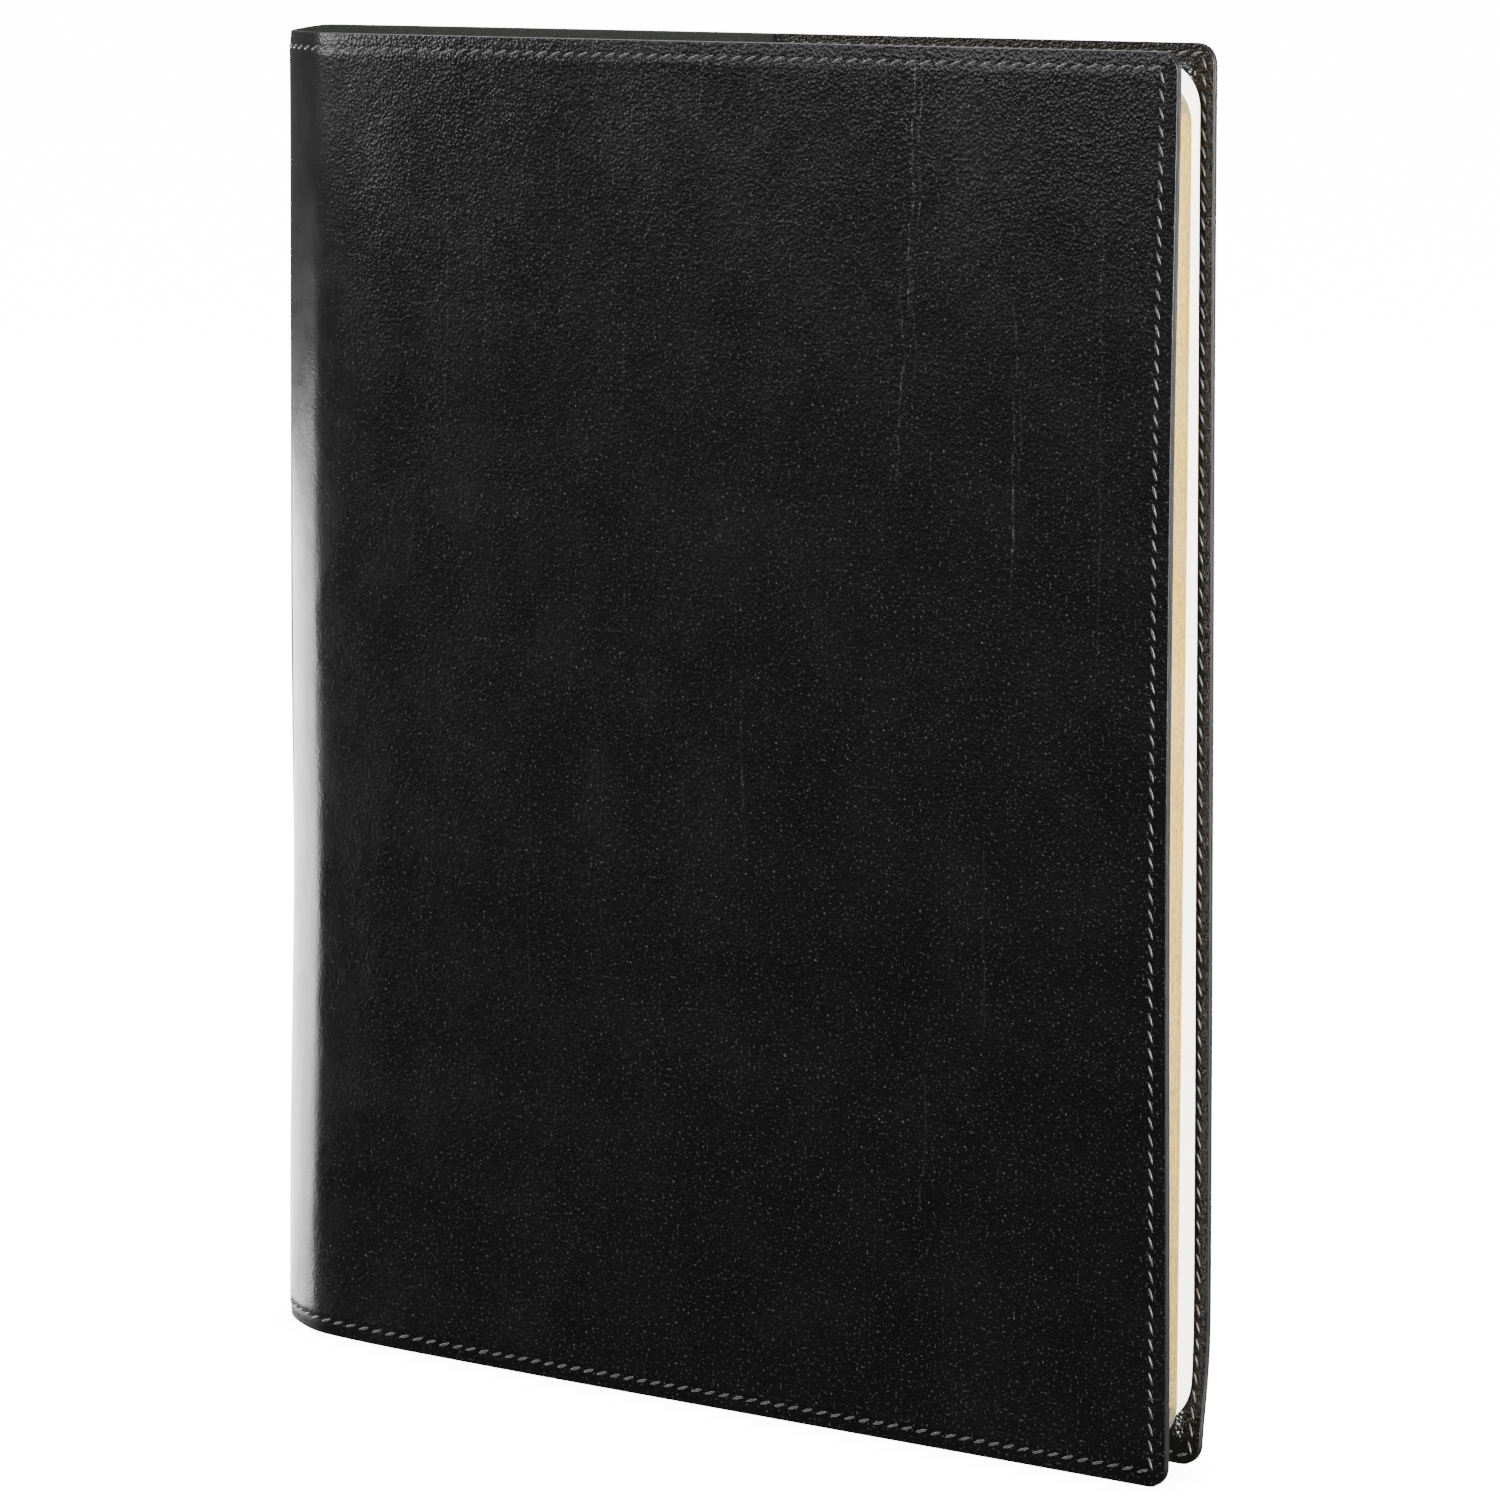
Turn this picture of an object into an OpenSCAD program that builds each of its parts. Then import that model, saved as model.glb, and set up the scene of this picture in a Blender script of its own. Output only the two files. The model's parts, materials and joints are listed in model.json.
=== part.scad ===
// Slim gilt-edged prayer book in a sewn black leather slip jacket, closed and standing on its tail edge.
// Working directions inside the modules: X runs from the outside of the rounded spine (0) to the
// fore edge, Y from the outer face of the front cover (0) to that of the back cover, Z up from the tail.
// book_frame() moves this so that the origin lies under the middle of the book, on its tail edge.

/* [Cover] */
// Height of the jacket
cover_h = 218; // [180:1:262]
// Width of the closed jacket, outside of the spine to fore edge
cover_w = 172; // [142:1:208]
// Thickness of the closed jacket, outside to outside
cover_t = 15.4; // [12.8:0.1:19]
// Thickness of the jacket leather
leather_t = 1; // [0.8:0.1:1.3]
// Radius of the jacket's fore edge corners
cover_corner_r = 3.5; // [2:0.5:8]

/* [Pockets] */
// Width of each pocket flap, from the fore edge inwards
pocket_w = 80; // [50:1:100]
// Thickness of the pocket leather
pocket_t = 0.6; // [0.5:0.1:0.9]
// Width of the sewn margin between the pocket's hollow and its outer edge
seam_w = 4; // [3.5:0.1:5]
// Distance from the cut edge to the line of stitches
stitch_inset = 2.5; // [1.8:0.1:3]
// Width of the sewing thread
thread_w = 0.6; // [0.4:0.1:0.8]
// Height of the thread above the leather
thread_h = 0.2; // [0.1:0.05:0.3]

/* [Case] */
// Thickness of the stiff cards that slip into the pockets
card_t = 0.7; // [0.5:0.1:0.9]
// Thickness of the paper pasted on the inside of each card
pastedown_t = 0.2; // [0.1:0.05:0.3]
// Thickness of the strip on the back of the block
case_spine_t = 1; // [0.6:0.1:1.2]
// Width of the groove between the spine and a card, where the jacket bends
joint_groove = 2.5; // [1.5:0.1:5]
// Clearance between a card and the seam of its pocket
card_clearance = 0.4; // [0.3:0.1:0.6]

/* [Block] */
// Gap between the leaves and the head of the jacket
head_gap = 3.9; // [2.5:0.1:6]
// Gap between the leaves and the tail of the jacket
tail_gap = 4.4; // [4.4:0.1:7]
// Distance the leaves stand back from the fore edge of the jacket
fore_edge_gap = 1.9; // [1:0.1:4]
// Gap between neighbouring sections
section_gap = 0.26; // [0.25:0.01:0.3]
// Free space between the block and the back cover's pocket
back_space = 3.8; // [2.5:0.1:4.6]
// Height by which the last leaf has ridden up past the block
flyleaf_lift = 2.2; // [0:0.1:2.4]
// Thickness of a flyleaf
flyleaf_t = 0.2; // [0.15:0.05:0.3]
// Radius of the leaves' fore edge corners
leaf_corner_r = 7.2; // [4:0.1:10]
// Width of each linen sewing tape
tape_w = 12; // [8:1:16]

/* [Hidden] */
$fn = 64;

joint_gap = 0.3;                       // between pieces that move apart
section_count = 7;                     // one node each, so it stays as it is
fold_x = cover_t / 2;                  // the half-round spine ends here
panel_x = fold_x + joint_gap / 2;      // the cover panels start here
cover_stack = leather_t + card_t + pastedown_t + pocket_t;

card_x = panel_x + joint_groove;
card_w = cover_w - card_x - seam_w - card_clearance;
card_z = tail_gap;
card_top = cover_h - seam_w - card_clearance;
card_corner_r = 2;

case_spine_x = fold_x - 0.95;          // outer face of the strip on the back of the block
mull_t = 0.3;
tape_t = 0.3;
mull_x = case_spine_x + case_spine_t;
tape_x = mull_x + mull_t;
leaf_x = tape_x + tape_t + 0.25;       // spine folds of the sections
leaf_w = cover_w - fore_edge_gap - leaf_x;
leaf_h = cover_h - head_gap - tail_gap;

front_flyleaf_y = cover_stack + thread_h + joint_gap;
block_y = front_flyleaf_y + flyleaf_t + section_gap;
block_t = cover_t - cover_stack - back_space - block_y;
section_t = (block_t - (section_count - 1) * section_gap) / section_count;
section_pitch = section_t + section_gap;
fold_len = 3;                          // length over which a section tapers to its fold
fold_t = 0.2;                          // thickness of the fold
back_flyleaf_y = block_y + block_t + section_gap;
back_flyleaf_far_y = cover_t - cover_stack - thread_h - joint_gap - flyleaf_t;
back_flyleaf_tilt = asin((back_flyleaf_far_y - back_flyleaf_y) / leaf_w);

band_r = 0.4;                          // bead of the head and tail bands
band_tongue = 7;                       // length glued to the back of the block
tape_count = 3;

// ---- shared shapes ----

// A flat outline given in X and Z, made solid from y0 to y1.
module sheet(y0, y1) {
    translate([0, y1, 0]) rotate([90, 0, 0]) linear_extrude(y1 - y0) children();
}

// A rectangle with its two corners on the far side in X rounded.
module fore_rounded(x0, z0, x1, z1, r) {
    translate([x0, z0]) square([x1 - x0 - r, z1 - z0]);
    translate([x1 - r - 0.01, z0 + r]) square([r + 0.01, z1 - z0 - 2 * r]);
    for (z = [z0 + r, z1 - r]) translate([x1 - r, z]) circle(r);
}

// The outline of a cover panel, drawn in from its free edges by inset.
module cover_outline(inset = 0) {
    fore_rounded(panel_x, inset, cover_w - inset, cover_h - inset, cover_corner_r - min(inset, cover_corner_r - 1));
}

module card_outline() {
    fore_rounded(card_x, card_z, card_x + card_w, card_top, card_corner_r);
}

module leaf_outline() {
    fore_rounded(leaf_x, tail_gap, leaf_x + leaf_w, tail_gap + leaf_h, leaf_corner_r);
}

// What stands at the front, turned round to the back cover.
module on_back_cover() {
    translate([0, cover_t, 0]) mirror([0, 1, 0]) children();
}

module book_frame() {
    translate([-(cover_w - thread_h) / 2, -cover_t / 2, 0]) children();
}

// ---- leather jacket ----

module cover_panel() {
    sheet(0, leather_t) cover_outline();
}

// The flap is sewn down along its three outer edges; the step inside it holds the card.
module pocket_flap() {
    skin_y = leather_t + card_t + pastedown_t;
    difference() {
        sheet(leather_t, cover_stack) intersection() {
            cover_outline();
            translate([cover_w - pocket_w, 0]) square([pocket_w, cover_h]);
        }
        translate([cover_w - pocket_w - 1, leather_t - 1, card_z - card_clearance])
            cube([pocket_w + 1 - seam_w, skin_y - leather_t + 1, card_top - card_z + 2 * card_clearance]);
    }
}

// Two lines of thread, one outside the cover and one inside on the pocket flap.
module cover_stitch_line() {
    module line() {
        difference() {
            cover_outline(stitch_inset);
            cover_outline(stitch_inset + thread_w);
        }
    }
    sheet(-thread_h, 0) line();
    sheet(cover_stack, cover_stack + thread_h) intersection() {
        line();
        translate([cover_w - pocket_w + 1, 0]) square([pocket_w, cover_h]);
    }
}

// The half-round back of the jacket, from z0 to z1.
module half_round(outer_r, wall, z0, z1) {
    translate([fold_x, cover_t / 2, z0]) linear_extrude(z1 - z0) difference() {
        circle(outer_r);
        circle(outer_r - wall);
        translate([-joint_gap / 2, -outer_r - 1]) square([outer_r + 2, 2 * outer_r + 2]);
    }
}

module jacket_front() {
    color("#151515") cover_panel();
}

module jacket_spine() {
    color("#1b1b1b") half_round(fold_x, leather_t, 0, cover_h);
}

module jacket_back() {
    color("#151515") on_back_cover() cover_panel();
}

module front_pocket() {
    color("#24231f") pocket_flap();
}

module back_pocket() {
    color("#24231f") on_back_cover() pocket_flap();
}

module front_stitching() {
    color("#3a3a3c") cover_stitch_line();
}

module spine_stitching() {
    color("#3a3a3c") for (z = [stitch_inset, cover_h - stitch_inset - thread_w])
        half_round(fold_x + thread_h, thread_h, z, z + thread_w);
}

module back_stitching() {
    color("#3a3a3c") on_back_cover() cover_stitch_line();
}

// ---- case of the book ----

module case_card() {
    sheet(leather_t, leather_t + card_t) card_outline();
}

module case_pastedown() {
    sheet(leather_t + card_t, leather_t + card_t + pastedown_t) card_outline();
}

module front_card() {
    color("#b9b2a2") case_card();
}

module back_card() {
    color("#b9b2a2") on_back_cover() case_card();
}

module front_pastedown() {
    color("#f3efe4") case_pastedown();
}

module back_pastedown() {
    color("#f3efe4") on_back_cover() case_pastedown();
}

// The flat layers on the back of the block all run across it in Y.
module spine_layer(x, thickness, y0, y1, z0, z1) {
    translate([x, y0, z0]) cube([thickness, y1 - y0, z1 - z0]);
}

module case_spine() {
    color("#b9b2a2") spine_layer(case_spine_x, case_spine_t, front_flyleaf_y, cover_t - front_flyleaf_y,
        tail_gap, tail_gap + leaf_h);
}

module spine_mull() {
    color("#e4dcc8") spine_layer(mull_x, mull_t, block_y, block_y + block_t,
        tail_gap + band_tongue + 1, tail_gap + leaf_h - band_tongue - 1);
}

module sewing_tapes() {
    color("#efe9da") for (i = [1:tape_count])
        spine_layer(tape_x, tape_t, block_y, block_y + block_t,
            tail_gap + leaf_h * i / (tape_count + 1) - tape_w / 2,
            tail_gap + leaf_h * i / (tape_count + 1) + tape_w / 2);
}

// A woven band across the end of the block at z: a tongue glued to the case spine, and a bead
// that stands just past the ends of the leaves. out is 1 at the head and -1 at the tail.
module end_band(z, out) {
    tongue_z = z - out * band_tongue;
    bead_z = z + out * band_r;
    translate([mull_x, block_y, min(tongue_z, bead_z)]) cube([mull_t, block_t, band_tongue + band_r]);
    translate([mull_x + mull_t / 2, block_y, bead_z]) rotate([-90, 0, 0]) cylinder(r = band_r, h = block_t);
}

module headband() {
    color("#c9a24a") end_band(tail_gap + leaf_h, 1);
}

module tailband() {
    color("#c9a24a") end_band(tail_gap, -1);
}

// ---- leaves ----

// Section n, counted from the front: folded leaves that taper to the sewn fold.
module section(n) {
    y0 = block_y + (n - 1) * section_pitch;
    mid = y0 + section_t / 2;
    intersection() {
        linear_extrude(cover_h) polygon([
            [leaf_x, mid - fold_t / 2], [leaf_x + fold_len, y0], [leaf_x + leaf_w, y0],
            [leaf_x + leaf_w, y0 + section_t], [leaf_x + fold_len, y0 + section_t], [leaf_x, mid + fold_t / 2]
        ]);
        sheet(y0 - 1, y0 + section_t + 1) leaf_outline();
    }
}

module front_flyleaf() {
    color("#faf7ee") sheet(front_flyleaf_y, front_flyleaf_y + flyleaf_t) leaf_outline();
}

// The last leaf stands off the block, leans towards the back cover and has ridden up.
module back_flyleaf() {
    color("#faf7ee") translate([leaf_x, back_flyleaf_y, flyleaf_lift]) rotate([0, 0, back_flyleaf_tilt])
        translate([-leaf_x, 0, 0]) sheet(0, flyleaf_t) leaf_outline();
}

module gilt_section(n) {
    color("#d8b765") section(n);
}

book_frame() jacket_front();
book_frame() jacket_spine();
book_frame() jacket_back();
book_frame() front_pocket();
book_frame() back_pocket();
book_frame() front_stitching();
book_frame() spine_stitching();
book_frame() back_stitching();
book_frame() front_card();
book_frame() back_card();
book_frame() front_pastedown();
book_frame() back_pastedown();
book_frame() case_spine();
book_frame() spine_mull();
book_frame() sewing_tapes();
book_frame() headband();
book_frame() tailband();
book_frame() front_flyleaf();
book_frame() gilt_section(1);  // section_1
book_frame() gilt_section(2);  // section_2
book_frame() gilt_section(3);  // section_3
book_frame() gilt_section(4);  // section_4
book_frame() gilt_section(5);  // section_5
book_frame() gilt_section(6);  // section_6
book_frame() gilt_section(7);  // section_7
book_frame() back_flyleaf();
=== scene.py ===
import json
import math
import random

import bmesh
import bpy
from mathutils import Matrix, Vector, noise


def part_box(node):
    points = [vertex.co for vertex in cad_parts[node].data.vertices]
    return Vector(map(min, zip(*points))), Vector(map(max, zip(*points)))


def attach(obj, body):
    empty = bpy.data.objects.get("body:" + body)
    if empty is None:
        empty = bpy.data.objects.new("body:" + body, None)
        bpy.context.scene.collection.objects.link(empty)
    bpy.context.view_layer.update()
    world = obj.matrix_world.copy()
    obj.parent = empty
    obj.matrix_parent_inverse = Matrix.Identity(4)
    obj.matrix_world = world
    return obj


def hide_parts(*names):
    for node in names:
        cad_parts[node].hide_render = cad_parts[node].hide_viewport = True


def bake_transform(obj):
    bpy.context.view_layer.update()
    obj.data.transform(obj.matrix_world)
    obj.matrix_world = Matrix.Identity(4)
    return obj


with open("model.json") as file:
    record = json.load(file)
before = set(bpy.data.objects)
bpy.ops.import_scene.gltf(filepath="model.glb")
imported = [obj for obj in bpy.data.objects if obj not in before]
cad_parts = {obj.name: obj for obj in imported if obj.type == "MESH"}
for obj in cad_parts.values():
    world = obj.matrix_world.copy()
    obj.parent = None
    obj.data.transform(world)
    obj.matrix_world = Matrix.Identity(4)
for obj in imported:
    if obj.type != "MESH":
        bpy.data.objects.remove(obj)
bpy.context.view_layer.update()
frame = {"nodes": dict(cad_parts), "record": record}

bl_info = {
    "name": "Prayer Book in a Slip Jacket",
    "version": (1, 0, 0),
    "blender": (4, 5, 0),
    "location": "3D View > Sidebar > Prayer Book",
    "description": "Builds a gilt-edged prayer book in a sewn leather slip jacket around its packed frame",
    "category": "Object",
}

MM = 0.001

# ---- places that come from the frame ----

FRONT, BACK = -1, 1                       # the side of the book, as the sign of Y
COVER_BODY = {FRONT: "front_cover", BACK: "back_cover"}
SIDE_NAME = {FRONT: "front", BACK: "back"}

SPINE_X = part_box("jacket_spine")[0].x
FORE_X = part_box("jacket_front")[1].x
HEAD_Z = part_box("jacket_front")[1].z
HALF_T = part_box("jacket_back")[1].y
COVER_W = FORE_X - SPINE_X
LEATHER_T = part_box("jacket_back")[1].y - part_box("jacket_back")[0].y
CARD_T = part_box("back_card")[1].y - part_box("back_card")[0].y
PASTEDOWN_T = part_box("back_pastedown")[1].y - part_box("back_pastedown")[0].y
STACK_T = HALF_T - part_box("back_pocket")[0].y
POCKET_T = STACK_T - LEATHER_T - CARD_T - PASTEDOWN_T
SEAM_INSET = FORE_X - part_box("front_stitching")[1].x
STITCH_SLANT = 19                         # degrees off the seam
STITCH_SHARE = 0.8                        # length of a stitch, of the pitch
THREAD_FLATNESS = 0.8                     # height of the pulled thread, of its width
THREAD_PROUD = 0.12                       # how far the thread's middle stands off the leather, of its width
INNER_SEAM_INSET = SEAM_INSET - 0.9 * MM  # the needle leans out, so the seam comes nearer the edge inside
INNER_SEAM_START = 1.5 * MM               # from the pocket's mouth to the first stitch inside
POCKET_ARRIS = 0.12 * MM

SHARP_ANGLE = 1.2                         # radians between two faces whose edge is rounded
CLOSE = 1e-6                              # m, two places nearer than this are the same


def linear(code):
    """An sRGB hex colour as linear values."""
    values = []
    for start in (1, 3, 5):
        part = int(code[start:start + 2], 16) / 255
        values.append(part / 12.92 if part <= 0.04045 else ((part + 0.055) / 1.055) ** 2.4)
    return values


def ease(value, low, high):
    """0 below low, 1 above high, and a smooth step between them."""
    share = min(1.0, max(0.0, (value - low) / (high - low)))
    return share * share * (3 - 2 * share)


# ---- sizes and colours that a user would change ----

def length(name, description, default):
    """A length that a user would change."""
    return bpy.props.FloatProperty(
        name=name, description=description, default=default, subtype="DISTANCE", unit="LENGTH")


def colour(name, description, code):
    """A colour that a user would change."""
    return bpy.props.FloatVectorProperty(
        name=name, description=description, default=linear(code), subtype="COLOR", size=3, min=0.0, max=1.0)


class BookSizes(bpy.types.PropertyGroup):
    """Sizes of what is sewn, rolled and pressed into the book."""
    corner_radius: length("Corner radius", "Radius of the jacket's fore edge corners", 3.2 * MM)
    arris_radius: length("Edge rounding", "Rounding of the burnished cut edges", 0.22 * MM)
    stitch_pitch: length("Stitch pitch", "Distance from one stitch to the next", 2.65 * MM)
    thread_width: length("Thread width", "Width of the sewing thread", 0.42 * MM)
    seam_pinch: length("Seam pinch", "How far the seam draws the outer leather in at its edge", 0.25 * MM)
    leaf_corner: length("Leaf corner radius", "Radius of the leaves' fore edge corners", 7.2 * MM)
    leather_cell: length("Leather mesh", "Length of one face of the leather's mesh", 1.9 * MM)


class BookColours(bpy.types.PropertyGroup):
    """Colours of the book's materials."""
    leather: colour("Leather", "Aniline-dyed grain side of the jacket", "#020202")
    pocket: colour("Pocket leather", "Thin grained leather of the pocket flaps", "#060605")
    suede: colour("Suede", "Flesh side of the jacket leather", "#141613")
    edge: colour("Edge paint", "Paint on the cut edges", "#060607")
    thread: colour("Thread", "Waxed sewing thread", "#1e1e20")
    gilt: colour("Gilt", "Gold leaf on the edges of the leaves", "#f2c60c")
    paper: colour("Paper", "Leaves and endpapers", "#f7f5ee")


# ---- materials ----

def node(tree, kind, inputs=None, out=0, **settings):
    """Adds a node with its settings; inputs hold plain values or the sockets to link from. Returns output out."""
    made = tree.nodes.new("ShaderNode" + kind)
    for key, value in settings.items():
        setattr(made, key, value)
    for key, value in (inputs or {}).items():
        if isinstance(value, bpy.types.NodeSocket):
            tree.links.new(value, made.inputs[key])
        else:
            made.inputs[key].default_value = value
    return made.outputs[out]


def blank_material(name, **values):
    """A material with one Principled shader whose sockets hold values; returns it, its tree and the shader."""
    material = bpy.data.materials.new(name)
    material.use_nodes = True
    shader = material.node_tree.nodes["Principled BSDF"]
    for key, value in values.items():
        shader.inputs[key.replace("_", " ")].default_value = value
    return material, material.node_tree, shader


def place_mm(tree, on_leather, scale=(1, 1, 1)):
    """Place in millimetres, drawn out along each axis by scale: on the leather as it lies flat (X from the
    spine, Y into it, Z up), or on the object."""
    if on_leather:
        place = node(tree, "Attribute", out="Vector", attribute_name="flat", attribute_type="GEOMETRY")
    else:
        place = node(tree, "TexCoord", out="Object")
    return node(tree, "VectorMath", {0: place, 1: [1000 * value for value in scale]}, operation="MULTIPLY")


def weighted(tree, parts, rest=0.0):
    """The sum of each pattern times its weight, and rest."""
    total = rest
    for pattern, weight in parts:
        total = node(tree, "Math", {0: pattern, 1: weight, 2: total}, operation="MULTIPLY_ADD")
    return total


def relief(tree, shader, *parts):
    """Gives the shader the bump of the patterns, each weighted by its height in millimetres."""
    normal = node(tree, "Bump", {"Height": weighted(tree, parts), "Distance": MM}, out="Normal")
    tree.links.new(normal, shader.inputs["Normal"])


def tinted(tree, shader, share, first, second):
    """Colours the shader from first to second by share."""
    mixed = node(tree, "Mix", {0: share, 6: (*first[:3], 1), 7: (*second[:3], 1)}, out=2, data_type="RGBA")
    tree.links.new(mixed, shader.inputs["Base Color"])


def scaled(values, factor):
    """A colour made lighter or darker by a factor."""
    return [min(1.0, value * factor) for value in values]


# Growth marks of the hide: distance from the spine, lower and upper end (mm) and strength.
GROWTH_MARKS = (
    (88.6, 207, 219, 0.9), (89.6, 209, 216, 0.5),
    (127.8, 178, 219, 1.0), (129.0, 190, 217, 0.8), (128.4, 166, 188, 0.5),
    (126.2, 152, 184, 0.8),
    (146.4, 136, 180, 0.8), (147.6, 150, 172, 0.4),
    (161.5, 122, 196, 0.4), (40.5, 150, 207, 0.35), (98.0, 92, 116, 0.5),
    (142.5, 66, 98, 0.4), (131.0, 36, 60, 0.5), (56.0, 60, 100, 0.25), (75.0, 122, 176, 0.25),
)
LINE_WIDTH = 0.14                         # mm, half of one growth line


def growth_marks(tree):
    """Where the hide's upright growth lines run: up to 1 on a line and 0 away from it."""
    place = place_mm(tree, True)
    across, up = (node(tree, "SeparateXYZ", {0: place}, out=axis) for axis in (0, 2))
    for scale, reach in ((0.03, 7.0), (0.35, 1.3)):
        wander = node(tree, "TexNoise", {"Vector": place_mm(tree, True, (0.1, 0, 1)), "Scale": scale, "Detail": 2.0})
        centred = node(tree, "Math", {0: across, 1: reach / 2}, operation="SUBTRACT")
        across = weighted(tree, [(wander, reach)], centred)
    broken = node(tree, "TexNoise", {"Vector": place_mm(tree, True, (1.5, 0, 0.5)), "Scale": 1.0, "Detail": 2.0})
    broken = node(tree, "MapRange", {0: broken, 1: 0.4, 2: 0.6})
    total = 0.0
    for middle, low, high, strength in GROWTH_MARKS:
        off = node(tree, "Math", {0: node(tree, "Math", {0: across, 1: middle}, operation="SUBTRACT")},
                   operation="ABSOLUTE")
        share = node(tree, "MapRange", {0: off, 1: LINE_WIDTH * 0.4, 2: LINE_WIDTH * 1.8, 3: strength, 4: 0.0})
        for start, end in ((low - 3.0, low + 6.0), (high + 3.0, high - 6.0)):
            fade = node(tree, "MapRange", {0: up, 1: start, 2: end})
            share = node(tree, "Math", {0: share, 1: fade}, operation="MULTIPLY")
        total = node(tree, "Math", {0: share, 1: total}, operation="MAXIMUM")
    return node(tree, "Math", {0: total, 1: broken}, operation="MULTIPLY")


def glazed_cowhide(colours):
    """Aniline-dyed cowhide, plated and glazed: deep black, with a fine pebble that breaks each reflection into
    sparks, upright growth lines that catch the light, and a few pale flecks of dust. The sparks and the light on
    the growth lines are also painted pale into the colour as painted highlights."""
    material, tree, shader = blank_material("glazed_black_cowhide", IOR=1.5)
    place = place_mm(tree, True)
    pebble = node(tree, "TexVoronoi", {"Vector": place, "Scale": 1.9})       # real pebble 0.3 mm, drawn 0.5 mm
    fine = node(tree, "TexNoise", {"Vector": place, "Scale": 2.6, "Detail": 2.0})
    swell = node(tree, "TexNoise", {"Vector": place_mm(tree, True, (1, 1, 0.6)), "Scale": 0.05, "Detail": 3.0})
    lines = growth_marks(tree)
    across = node(tree, "SeparateXYZ", {0: place})
    relaxed = node(tree, "MapRange", {0: across, 1: 9.0, 2: 26.0, 3: 0.12, 4: 1.0})    # smooth over the spine
    grain = node(tree, "Math", {0: weighted(tree, ((pebble, 0.08), (fine, 0.035))), 1: relaxed},
                 operation="MULTIPLY")
    relief(tree, shader, (grain, 1.0), (lines, 0.06), (swell, 0.6))
    specks = node(tree, "TexVoronoi", {"Vector": place, "Scale": 0.3})
    dust = node(tree, "MapRange", {0: specks, 1: 0.03, 2: 0.055, 3: 1.0, 4: 0.0})      # flecks 0.2 mm across
    glint_noise = node(tree, "TexNoise", {"Vector": place, "Scale": 2.1, "Detail": 1.0})
    painted_glints = node(tree, "MapRange", {0: glint_noise, 1: 0.62, 2: 0.76, 3: 0.0, 4: 0.7})      # painted glints: pebble sparks painted pale into the colour
    # growth lines tinted pale: a painted highlight where they catch the light, added to the painted glints
    painted_highlights = node(tree, "Math", {0: lines, 1: 0.3, 2: painted_glints}, operation="MULTIPLY_ADD")
    pale = node(tree, "Math", {0: dust, 1: painted_highlights}, operation="MAXIMUM")
    # pale mixes real dust flecks with painted highlights, the glints on the pebble and the light on the growth lines
    tinted(tree, shader, pale, colours.leather, linear("#3a3a3c"))
    wear = node(tree, "TexNoise", {"Vector": place, "Scale": 0.06, "Detail": 4.0, "Roughness": 0.6})
    rough = node(tree, "MapRange", {0: wear, 1: 0.3, 2: 0.7, 3: 0.22, 4: 0.32})
    tree.links.new(rough, shader.inputs["Roughness"])
    return material


def pocket_goatskin(colours):
    """Thin drum-dyed goatskin: black, with a sharp pebble grain that glitters."""
    material, tree, shader = blank_material("grained_black_goatskin", IOR=1.4)
    place = place_mm(tree, True)
    pebble = node(tree, "TexVoronoi", {"Vector": place, "Scale": 2.0})               # pebbles 0.5 mm across
    fine = node(tree, "TexNoise", {"Vector": place, "Scale": 3.0, "Detail": 2.0})
    relief(tree, shader, (pebble, 0.17), (fine, 0.05))
    tinted(tree, shader, pebble, colours.pocket, linear("#0a0a08"))
    tree.links.new(node(tree, "MapRange", {0: fine, 1: 0.3, 2: 0.7, 3: 0.15, 4: 0.28}), shader.inputs["Roughness"])
    return material


def flesh_side(colours):
    """The flesh side of the hide, split and buffed to a short grey nap: matt, mottled and soft."""
    material, tree, shader = blank_material("buffed_grey_suede", Roughness=0.95, Sheen_Weight=0.08,
                                            Sheen_Roughness=0.5, Specular_IOR_Level=0.15)
    place = place_mm(tree, True)
    nap = node(tree, "TexNoise", {"Vector": place, "Scale": 2.2, "Detail": 4.0, "Roughness": 0.7})   # nap 0.4 mm long
    patches = node(tree, "TexNoise", {"Vector": place, "Scale": 0.35, "Detail": 3.0})
    tinted(tree, shader, weighted(tree, ((nap, 1.2), (patches, 0.6)), -0.4), scaled(colours.suede, 0.4),
           scaled(colours.suede, 1.6))
    relief(tree, shader, (nap, 0.25))
    return material


def painted_edge(colours):
    """Cut leather edge, painted and burnished: satin black with faint layers."""
    material, tree, shader = blank_material("burnished_edge_paint", Roughness=0.3, IOR=1.32)
    layers = node(tree, "TexNoise", {"Vector": place_mm(tree, True, (0.3, 4, 0.3)), "Scale": 1.0, "Detail": 2.0})
    tinted(tree, shader, layers, colours.edge, scaled(colours.edge, 2.2))
    relief(tree, shader, (layers, 0.04))
    return material


def waxed_thread(colours):
    """Three-ply waxed thread: black with a twist that breaks its shine into beads, and painted shade that darkens the
    grooves between the plies.
    """
    material, tree, shader = blank_material("waxed_ply_thread", Roughness=0.3, Sheen_Weight=0.2)
    twist = node(tree, "TexWave", {"Vector": place_mm(tree, True), "Scale": 0.5, "Distortion": 0.6},
                 bands_direction="DIAGONAL")                                        # plies 0.6 mm apart
    # painted shade: the colour darkens where the twist's bump is low, in the grooves between the plies
    tinted(tree, shader, twist, scaled(colours.thread, 0.4), colours.thread)
    relief(tree, shader, (twist, 0.05))
    return material


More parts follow.
